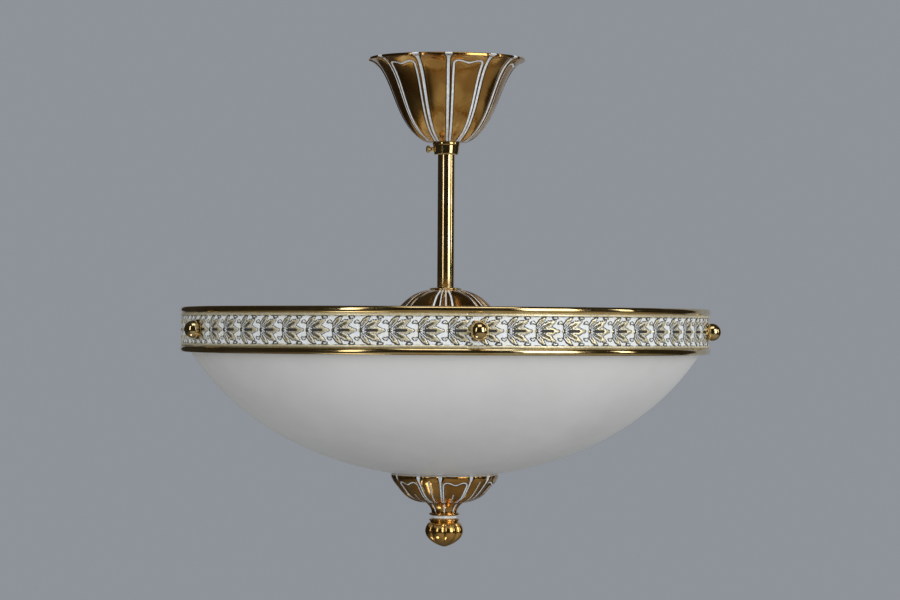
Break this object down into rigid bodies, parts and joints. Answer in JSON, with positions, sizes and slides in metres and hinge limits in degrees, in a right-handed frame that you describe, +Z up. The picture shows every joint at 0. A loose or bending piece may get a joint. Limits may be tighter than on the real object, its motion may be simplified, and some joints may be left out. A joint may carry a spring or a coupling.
{
  "type": "bowl ceiling pendant",
  "caption": "Semi-flush ceiling light: petalled brass cup and stem carrying a frieze ring, with a satin opal glass bowl held up by a cup and finial.",
  "frame": {"origin": "on the ceiling plane, midway between the bracket's two slots, on the stem's axis", "axes": "+Z up along the stem towards the ceiling, -Y towards the viewer, +X to the viewer's right"},
  "size_m": [0.4253, 0.4275, 0.3876],
  "materials": {
    "polished_brass": "polished, lacquered",
    "plain_brass": "turned, unpolished",
    "patina_brass": "cast brass rubbed with a pale patina, high points polished",
    "opal_glass": "satin opal white",
    "lamp_glass": "opal glass with a nickel screw cap",
    "porcelain": "glazed, white",
    "terminal_plastic": "moulded",
    "lead_insulation": "heat-resistant sleeve, cream",
    "rubber_seal": "translucent silicone",
    "plated_box": "brass-plated",
    "zinc_steel": "zinc-plated"
  },
  "bodies": {
    "root": {"ball_nuts": "polished_brass", "block_screw": "zinc_steel", "ceiling_bracket": "zinc_steel", "centre_rod": "zinc_steel", "clamp_screws": "zinc_steel", "cluster_body": "plated_box", "cluster_lid": "plated_box", "dome_cap": "polished_brass", "earth_screw": "zinc_steel", "frieze_segment_1": "patina_brass", "frieze_segment_2": "patina_brass", "frieze_segment_3": "patina_brass", "frieze_segment_4": "patina_brass", "frieze_segment_5": "patina_brass", "hub": "plain_brass", "lamp_leads": "lead_insulation", "lampholder_1": "porcelain", "lampholder_2": "porcelain", "lampholder_3": "porcelain", "rim_ring": "polished_brass", "ring_arm_1": "polished_brass", "ring_arm_2": "polished_brass", "ring_arm_3": "polished_brass", "ring_arm_4": "polished_brass", "ring_arm_5": "polished_brass", "rod_coupler": "plain_brass", "rosettes": "polished_brass", "stem_disc": "polished_brass", "stem_sleeve": "polished_brass", "suspension_tube": "zinc_steel", "terminal_block": "terminal_plastic", "tube_nuts": "zinc_steel", "tube_washers": "zinc_steel"},
    "canopy": {"canopy": "polished_brass", "canopy_collar": "polished_brass", "canopy_ring_nut": "zinc_steel"},
    "set_screw": {"canopy_set_screw": "polished_brass"},
    "bowl": {"glass_bowl": "opal_glass", "bowl_grommet": "rubber_seal", "bowl_gasket": "rubber_seal", "bottom_cup": "polished_brass"},
    "finial": {"finial": "polished_brass"},
    "lamp_1": {"lamp_1": "lamp_glass"},
    "lamp_2": {"lamp_2": "lamp_glass"},
    "lamp_3": {"lamp_3": "lamp_glass"}
  },
  "joints": [
    {"name": "canopy_slide", "type": "slide", "parent": "root", "child": "canopy", "axis": [0, 0, -1], "range_m": [0, 0.1]},
    {"name": "set_screw_turn", "type": "hinge", "parent": "canopy", "child": "set_screw", "pos_m": [0, 0, -0.0723], "axis": [-1, 0, 0], "range_deg": [0, 1080]},
    {"name": "bowl_drop", "type": "slide", "parent": "root", "child": "bowl", "axis": [0, 0, -1], "range_m": [0, 0.012]},
    {"name": "finial_turn", "type": "hinge", "parent": "bowl", "child": "finial", "pos_m": [0, 0, -0.36], "axis": [0, 0, -1], "range_deg": [0, 4320]},
    {"name": "lamp_1_turn", "type": "hinge", "parent": "root", "child": "lamp_1", "pos_m": [0, 0, -0.254], "axis": [0.6794, -0.7337, 0], "range_deg": [0, 900]},
    {"name": "lamp_2_turn", "type": "hinge", "parent": "root", "child": "lamp_2", "pos_m": [0, 0, -0.254], "axis": [0.2957, 0.9553, 0], "range_deg": [0, 900]},
    {"name": "lamp_3_turn", "type": "hinge", "parent": "root", "child": "lamp_3", "pos_m": [0, 0, -0.254], "axis": [-0.9751, -0.2215, 0], "range_deg": [0, 900]}
  ],
  "couplings": [
    {"joint": "finial_turn", "follows": "bowl_drop", "rad_per_m": 6283.2}
  ]
}
